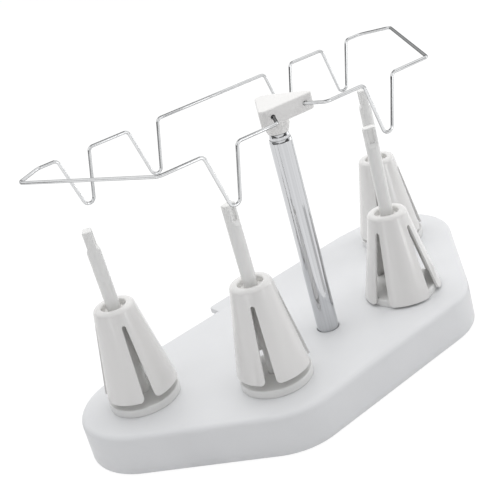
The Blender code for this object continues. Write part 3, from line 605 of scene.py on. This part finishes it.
def cone_quarters(x, y, rim, turn, splay):
    """Points[quarter, row, column, xyz]. Rows run from the collar's foot to the bell's foot."""
    collar_foot, web, mouth = -40.1, -4.0, 7.28
    collar = [[PIN_BORE, collar_foot], [PIN_BORE, web], [mouth, web], [mouth, 0.0]]
    inner = soft_corners(collar + [[12.3, 0.0], [12.95, -6.0]], [0, 0.5, 0.5, 1.3, 2.6, 0], 7)[:-1]
    start_rows = SLIT_START + np.array([0.0, 0.05, 0.15, 0.35, 0.65, 1.1, 2.5])
    middle_rows = [14.0, 18.0, 23.0, 28.0, 33.0, 38.0, 43.0, 47.0, 50.5]
    corner_rows = LENGTH - PETAL_CORNER * (1 - np.sin(np.linspace(0, math.pi / 2, 9)))
    depth = np.concatenate([[4.5, 6.5], start_rows, middle_rows, corner_rows])
    profile = np.concatenate([inner, np.stack([cone_radius(depth, splay), -depth], axis=-1)])
    petal = 2 * math.pi * FOOT / 4 - SLIT_FOOT
    foot_width = 2 * math.pi * cone_radius(np.array(LENGTH), splay) / 4 - petal
    radius = profile[:, :1]
    half = np.concatenate([np.zeros(len(inner)), slit_half_width(depth, foot_width)])[:, None] / radius
    share = np.linspace(0, 1, 25)
    angle = np.stack([turn + math.pi / 2 * q + half + (math.pi / 2 - 2 * half) * share for q in range(4)])
    height = profile[:, 1:] + rim + 0 * angle
    return np.stack([x + radius * np.cos(angle), y + radius * np.sin(angle), height], axis=-1)


def cone_holder(name, quarters):
    """The sheet's quarters, merged where they meet, with modifiers for the wall and its rounded edges."""
    rows, columns = quarters.shape[1:3]
    row, column = np.meshgrid(np.arange(rows - 1), np.arange(columns - 1), indexing="ij")
    corner = row * columns + column
    corners = [corner + columns, corner + columns + 1, corner + 1, corner]
    face = np.stack(corners, axis=-1).reshape(-1, 4)
    faces = np.concatenate([face + q * rows * columns for q in range(4)])
    mesh = bpy.data.meshes.new(name)
    mesh.from_pydata((quarters.reshape(-1, 3) * MM).tolist(), [], faces.tolist())
    shape = bmesh.new()
    shape.from_mesh(mesh)
    bmesh.ops.remove_doubles(shape, verts=shape.verts, dist=1e-7)
    shape.to_mesh(mesh)
    shape.free()
    piece = bpy.data.objects.new(name, mesh)
    bpy.context.scene.collection.objects.link(piece)
    wall = piece.modifiers.new("wall", "SOLIDIFY")
    wall.thickness = PETAL_WALL * MM
    wall.offset = -1
    edge = piece.modifiers.new("edge", "BEVEL")
    edge.limit_method = "ANGLE"
    edge.angle_limit = math.radians(50)
    edge.width = 0.42 * MM
    edge.segments = 3
    mesh.shade_smooth()
    mesh.set_sharp_from_angle(angle=math.radians(180))
    return piece


CONE_RIMS = BASE_TOP + np.array([64.6, 64.6, 57.0, 63.0])
CONE_TURN = np.radians([-107.8, -133.9, -80.0, -56.4])
CONE_SPLAY = (0.0, 0.0, 2.22, 0.0)
for number, ((x, y), rim, turn, splay) in enumerate(zip(PINS, CONE_RIMS, CONE_TURN, CONE_SPLAY), 1):
    cone = cone_holder(f"cone_{number}", cone_quarters(x, y, rim, turn, splay))
    dress(cone, cone_abs, f"cone_{number}", "white_gloss_plastic", f"cone_holder_{number}")
print("four cone holders made")

# %% [markdown]
# ## The telescopic pole
#
# Three thin tubes slide in each other. The mouth of each outer tube is swaged in over its last 1.7
# mm, which keeps the next tube centred. The lip leans back, so it mirrors the dark room above the
# camera as a dark ring.

# %% Tubes
def tube(name, radius, low, high, swage):
    """A thin tube whose outside leans in by swage near its mouth, down to a narrow edge."""
    wall, leaning, edge_width = 0.5, 1.7, 0.2
    bore, edge = radius - wall, radius - swage
    corners = [
        [radius, low],
        [radius, high - leaning],
        [edge, high - 0.1],
        [min(edge - edge_width, bore), high],
        [bore, high - leaning],
        [bore, low],
    ]
    section = soft_corners(corners, [0, 0.4, 0.1, 0.04, 0.4, 0], 5)
    return turned(name, section, around=128, closed=True)


tubes = {
    "outer_tube": (6.8, 9.3, POLE_TOP, 0.45, "base"),
    "middle_tube": (6.0, 27.7, MIDDLE_TOP, 0.45, "middle_tube"),
    "inner_tube": (5.2, 41.9, HOLDER_TOP - 3.5, 0.0, "inner_tube"),
}
for name, (radius, low, high, swage, body) in tubes.items():
    dress(tube(name, radius, low, high, swage), tube_chrome, body, "polished_chrome", f"pole_{name}")
print("three tubes made")

# %% [markdown]
# ## The holder on the pole
#
# The guide's holder is a rounded triangle with a short neck under it that sits on the inner tube.
# Its front face takes the two ends of the wire.

# %% Holder
def moved(piece, angle):
    """Turns a finished piece about the pole, in its mesh."""
    piece.data.transform(Matrix.Rotation(angle, 4, "Z"))
    return piece


def wire_socket(side):
    """Rings across the wire's end: at each depth an ellipse, wide at the face and close to the wire inside
    the holder."""
    mirror = np.array([side, 1.0, 1.0])
    inward = WIRE_INWARD * mirror
    across = np.cross(inward, [0.0, 0.0, 1.0])
    angle = np.linspace(0, 2 * math.pi, 32, endpoint=False)[None, :, None]
    depth = np.array([-4.0, -0.4, 0.3, 0.8, 1.6, 7.6])[:, None, None]
    wide = np.array([2.0, 1.7, 1.35, 1.12, 1.08, 1.08])[:, None, None]
    high = np.array([1.7, 1.45, 1.25, 1.1, 1.08, 1.08])[:, None, None]
    middle = WIRE_ENTRY * mirror + depth * inward
    rings = middle + wide * np.cos(angle) * across + high * np.sin(angle) * [0, 0, 1]
    ends = [np.broadcast_to(ring.mean(axis=0), ring.shape)[None] for ring in (rings[0], rings[-1])]
    return piece_from_grid("wire_socket", np.concatenate([ends[0], rings, ends[1]]))


def hollowed(piece, hollows, crease=35):
    """Cuts the hollows out of a piece with Boolean modifiers, keeps the result and removes the hollows."""
    for hollow in hollows:
        cutting = piece.modifiers.new("cut", "BOOLEAN")
        cutting.object = hollow
        cutting.solver = "EXACT"
    bpy.context.view_layer.update()
    mesh = bpy.data.meshes.new_from_object(piece.evaluated_get(bpy.context.evaluated_depsgraph_get()))
    piece.modifiers.clear()
    piece.data = mesh
    mesh.shade_smooth()
    mesh.set_sharp_from_angle(angle=math.radians(crease))
    for hollow in hollows:
        bpy.data.objects.remove(hollow, do_unlink=True)
    return piece


HOLDER_HEIGHT = 10.0
NECK_BORE, NECK_FOOT, NECK_RADIUS, NECK_SLOPE = 5.5, 6.2, 7.6, 4.0
holder_circles = [[-14.5, -14.5, 3.0], [14.5, -14.5, 3.0], [0.0, 8.0, 4.9]]
block = pad("holder_block", band(holder_circles, 14, 10), HOLDER_TOP - HOLDER_HEIGHT, HOLDER_TOP, 1.1)
block = hollowed(block, [wire_socket(-1.0), wire_socket(1.0)])
dress(moved(block, GUIDE_TURN), holder_abs, "guide", "white_satin_plastic", "guide_holder")
neck_top = HOLDER_TOP - HOLDER_HEIGHT + 1.0
neck_corners = [
    [NECK_BORE, NECK_BOTTOM],
    [NECK_FOOT, NECK_BOTTOM],
    [NECK_RADIUS, NECK_BOTTOM + NECK_SLOPE],
    [NECK_RADIUS, neck_top],
    [NECK_BORE, neck_top],
]
neck_section = soft_corners(neck_corners, [0, 0.3, 1.5, 0, 0], 6)
dress(turned("holder_neck", neck_section, closed=True), holder_abs, "guide", "white_satin_plastic")
print("holder made, top at", round(HOLDER_TOP, 2))

# %% [markdown]
# ## The wire guide
#
# One chromed wire of 2 mm runs from the holder round the whole guide and back. Its route is a list
# of corners, each with its bending radius. The tube follows that route: at every point a circle
# lies across the direction of travel.

# %% Route of the wire
def loop(x, y, direction):
    """Three corners of one hanging loop. Its legs touch the bend, so their corner is below the tip."""
    half, bend = 10.5, 3.5
    reach = LOOP_DROP - bend
    lean = math.atan2(half, reach) - math.asin(bend / math.hypot(half, reach))
    return [
        ([x - direction * half, y, WIRE_Z], 3.0),
        ([x, y, WIRE_Z - half / math.tan(lean)], bend),
        ([x + direction * half, y, WIRE_Z], 3.0),
    ]


def wire_route():
    """Corners from inside the holder, round the right half, then the same mirrored for the left half."""
    half = [(list(WIRE_ENTRY + WIRE_INWARD * 7.0), 0.0), (list(WIRE_KINK), 3.0)]
    half += loop(53.2, WIRE_FRONT, 1)
    half += [([90.4, WIRE_FRONT, WIRE_Z], 4.5), ([136.2, 56.8, WIRE_Z], 4.0)]
    half += [([120.0, WIRE_BACK, WIRE_Z], 8.0)]
    half += loop(97.4, WIRE_BACK, -1) + loop(50.4, WIRE_BACK, -1)
    mirrored = [([-p[0], p[1], p[2]], r) for p, r in reversed(half)]
    return half + mirrored


def bent_path(route, steps=9):
    """The route's corners, each rounded by its bending radius, between the route's two ends."""
    corners = np.array([p for p, _ in route], float)
    path = [corners[:1]]
    for i in range(1, len(route) - 1):
        back, ahead = arms(*corners[i - 1 : i + 2])
        path.append(rounded(corners[i], back, ahead, route[i][1], steps))
    path.append(corners[-1:])
    return np.concatenate(path)


path = bent_path(wire_route())
print("wire length", round(float(np.linalg.norm(np.diff(path, axis=0), axis=1).sum())), "mm")


# %% Tube round the route
def wire_along(name, path, radius, around=20):
    """A ring per point: point + radius * (cos a * side + sin a * up). The wire never runs along y, so
    side is across both the wire and y, and up is across the wire and side. The whole is then turned."""
    way = np.gradient(path, axis=0)
    way /= np.linalg.norm(way, axis=1, keepdims=True)
    side = np.cross(way, [0.0, 1.0, 0.0])
    side /= np.linalg.norm(side, axis=1, keepdims=True)
    up = np.cross(way, side)
    angle = np.linspace(0, 2 * math.pi, around, endpoint=False)[None, :, None]
    rings = path[:, None] + radius * (np.cos(angle) * side[:, None] + np.sin(angle) * up[:, None])
    ends = [np.broadcast_to(p, rings[0].shape)[None] for p in (path[0], path[-1])]
    rings = turn_about_pole(np.concatenate([ends[0], rings, ends[1]]), GUIDE_TURN)
    return piece_from_grid(name, rings, crease=60)


wire = wire_along("guide_wire", path, WIRE_RADIUS)
dress(wire, wire_chrome, "guide", "polished_chrome", "thread_guide_wire")
print("wire made")

# %% [markdown]
# ## Floor, background and light
#
# The stand is on a plain pale floor in front of white. The camera, and anything that mirrors or
# looks through, sees white, while the floor still takes the stand's soft shadow. A large soft lamp
# above gives the tops their light, and the white room fills the sides.

# %% Floor
def pale_floor(half_side, height):
    """A square floor whose material is mostly plain white to the camera and to mirrors, and pale and diffuse
    to every other ray."""
    corners = [[[x, y, height] for x in (-half_side, half_side)] for y in (-half_side, half_side)]
    floor = piece_from_grid("pale_floor", np.array(corners), wrap_round=False)
    material = bpy.data.materials.new("pale_studio_floor")
    material.use_nodes = True
    tree = material.node_tree
    tree.nodes.clear()
    rays = add_node(tree, "ShaderNodeLightPath").outputs
    seen = add_node(tree, "ShaderNodeMath", {"operation": "MAXIMUM"})
    tree.links.new(rays["Is Camera Ray"], seen.inputs[0])
    tree.links.new(rays["Is Glossy Ray"], seen.inputs[1])
    diffuse = add_node(tree, "ShaderNodeBsdfDiffuse", {"Color": linear("#F2F2F2")})
    plain = add_node(tree, "ShaderNodeEmission", {"Color": (1, 1, 1, 1), "Strength": 1.1})
    share = add_node(tree, "ShaderNodeMath", {"operation": "MULTIPLY"})
    share.inputs[1].default_value = 0.85
    tree.links.new(seen.outputs[0], share.inputs[0])
    mix = add_node(tree, "ShaderNodeMixShader", None, {"Fac": share.outputs[0]})
    tree.links.new(diffuse.outputs["BSDF"], mix.inputs[1])
    tree.links.new(plain.outputs["Emission"], mix.inputs[2])
    add_node(tree, "ShaderNodeOutputMaterial", None, {"Surface": mix.outputs["Shader"]})
    floor.data.materials.append(material)


pale_floor(3000.0, -1.0)
print("floor made")


# %% World
def white_room(strength):
    """White to the camera, to mirrors and through glass, and a soft light of this strength to the rest."""
    world = bpy.data.worlds.new("white_room")
    bpy.context.scene.world = world
    world.use_nodes = True
    tree = world.node_tree
    tree.nodes.clear()
    rays = add_node(tree, "ShaderNodeLightPath").outputs
    mirrored = add_node(tree, "ShaderNodeMath", {"operation": "MAXIMUM"})
    tree.links.new(rays["Is Camera Ray"], mirrored.inputs[0])
    tree.links.new(rays["Is Glossy Ray"], mirrored.inputs[1])
    seen = add_node(tree, "ShaderNodeMath", {"operation": "MAXIMUM"})
    tree.links.new(mirrored.outputs[0], seen.inputs[0])
    tree.links.new(rays["Is Transmission Ray"], seen.inputs[1])
    light = add_node(tree, "ShaderNodeBackground", {"Color": linear("#FDFDFF"), "Strength": strength})
    plain = add_node(tree, "ShaderNodeBackground", {"Color": (1, 1, 1, 1), "Strength": 1.0})
    mix = add_node(tree, "ShaderNodeMixShader", None, {"Fac": seen.outputs[0]})
    tree.links.new(light.outputs["Background"], mix.inputs[1])
    tree.links.new(plain.outputs["Background"], mix.inputs[2])
    add_node(tree, "ShaderNodeOutputWorld", None, {"Surface": mix.outputs["Shader"]})


white_room(0.575)
print("world made")


# %% Lamps
def soft_lamp(name, place, size, power):
    """A square area lamp at this place in mm, turned to the stand's middle. Mirrors don't see it."""
    data = bpy.data.lights.new(name, "AREA")
    data.shape = "SQUARE"
    data.size = size * MM
    data.energy = power
    lamp = bpy.data.objects.new(name, data)
    bpy.context.scene.collection.objects.link(lamp)
    lamp.location = Vector(place) * MM
    lamp.rotation_euler = (Vector((0, 0, 60 * MM)) - lamp.location).to_track_quat("-Z", "Y").to_euler()
    lamp.visible_camera = False
    lamp.visible_glossy = False


soft_lamp("top_lamp", (100, 200, 1200), 900, 7.0)
soft_lamp("right_lamp", (900, -330, 500), 500, 1.9)
print("lamps made")

# %% [markdown]
# ## Cards for the reflections
#
# In a room that is white all round, gloss and chrome lose their shape. A photographer stands cards
# and lit strips beside a shiny piece, and each one shows in it as a line. These cards are seen only
# in reflections: they give no light, take none away, and stay out of every view.

# %% Cards
def reflected_card(name, corners, brightness):
    """A flat card between four corners in mm. Brightness 0 is black and 1 is the studio's white."""
    card = piece_from_grid(name, np.array(corners, float).reshape(2, 2, 3), wrap_round=False)
    material = bpy.data.materials.new(name + "_surface")
    material.use_nodes = True
    tree = material.node_tree
    tree.nodes.clear()
    glow = add_node(tree, "ShaderNodeEmission", {"Color": (1, 1, 1, 1), "Strength": brightness})
    add_node(tree, "ShaderNodeOutputMaterial", None, {"Surface": glow.outputs["Emission"]})
    card.data.materials.append(material)
    card.visible_camera = False
    card.visible_diffuse = False
    card.visible_transmission = False
    card.visible_shadow = False


def upright_card(name, azimuth, width, brightness, distance, low, high):
    """A card that stands at this bearing from the pole, in degrees from the x axis, and faces the pole."""
    a = math.radians(azimuth)
    middle = np.array([math.cos(a), math.sin(a)]) * distance
    across = np.array([-math.sin(a), math.cos(a)]) * width / 2
    corners = [[*(middle + s * across), z] for z in (low, high) for s in (-1, 1)]
    reflected_card(name, corners, brightness)


def floor_strip(name, azimuth, spread, brightness, near, far):
    """A strip on the floor that points at the pole. Its sides are the bearings azimuth -/+ spread."""
    bearings = [math.radians(azimuth + s * spread) for s in (-1, 1)]
    corners = [[r * math.cos(a), r * math.sin(a), 0.5] for r in (near, far) for a in bearings]
    reflected_card(name, corners, brightness)


# Bearing, width, brightness, distance and top of each card that stands on the floor.
standing_cards = {
    "lit_strip_left": (-160, 120, 2.0, 650, 150),
    "dark_card_left": (146, 200, 0.05, 650, 150),
    "grey_card_front": (-118, 420, 0.5, 700, 150),
    "lit_strip_front": (-76, 200, 3.6, 800, 170),
    "dark_card_right": (-45, 330, 0.1, 800, 170),
    "lit_panel_right": (-14, 300, 3.0, 800, 170),
}
for name, (azimuth, width, brightness, distance, top) in standing_cards.items():
    upright_card(name, azimuth, width, brightness, distance, 0, top)
for side, azimuth in enumerate((-118, -170, -222, -66)):
    upright_card(f"dark_card_above_{side}", azimuth, 1100, 0.1, 1130, 235, 440)
ceiling_half, ceiling_height = 650, 1500
ceiling_sides = (-ceiling_half, ceiling_half)
ceiling = [[x, y, ceiling_height] for y in ceiling_sides for x in ceiling_sides]
reflected_card("dark_ceiling", ceiling, 0.1)
# Bearing, spread, brightness and reach of each strip on the floor.
floor_strips = [(-174, 4.0, 0.35, 330), (145, 3.5, 0.4, 230), (-66, 13.0, 0.66, 300), (-9, 9.0, 0.35, 210)]
for number, (azimuth, spread, brightness, far) in enumerate(floor_strips, 1):
    floor_strip(f"floor_strip_{number}", azimuth, spread, brightness, 110, far)
print("cards made")

# %% [markdown]
# ## Camera
#
# The camera's place and lens come from fitting about a hundred points of the photograph, such as
# the base's corners, the pins' tops and the wire's bends, to this model. The focal length is in
# pixels of the 500-pixel frame. The camera looks along a heading, measured from the x axis, tilts
# down, and then rolls about its own line of sight.

# %% Camera
FRAME_PIXELS, FOCAL_PIXELS, SENSOR_MM = 500.0, 933.04, 36.0
CAMERA_PLACE = Vector((-307.604, -410.808, 312.916))
HEADING, TILT, ROLL = (math.radians(degrees) for degrees in (56.9734, 23.5179, -15.856))
camera_data = bpy.data.cameras.new("camera")
camera_data.sensor_width = SENSOR_MM
camera_data.lens = SENSOR_MM * FOCAL_PIXELS / FRAME_PIXELS
camera = bpy.data.objects.new("camera", camera_data)
bpy.context.scene.collection.objects.link(camera)
facing = Matrix.Rotation(HEADING - math.pi / 2, 4, "Z") @ Matrix.Rotation(math.pi / 2 - TILT, 4, "X")
camera.matrix_world = Matrix.Translation(CAMERA_PLACE * MM) @ facing @ Matrix.Rotation(ROLL, 4, "Z")
bpy.context.scene.camera = camera
bpy.context.scene.view_settings.view_transform = "Standard"
print("camera lens", round(camera_data.lens, 2), "mm")
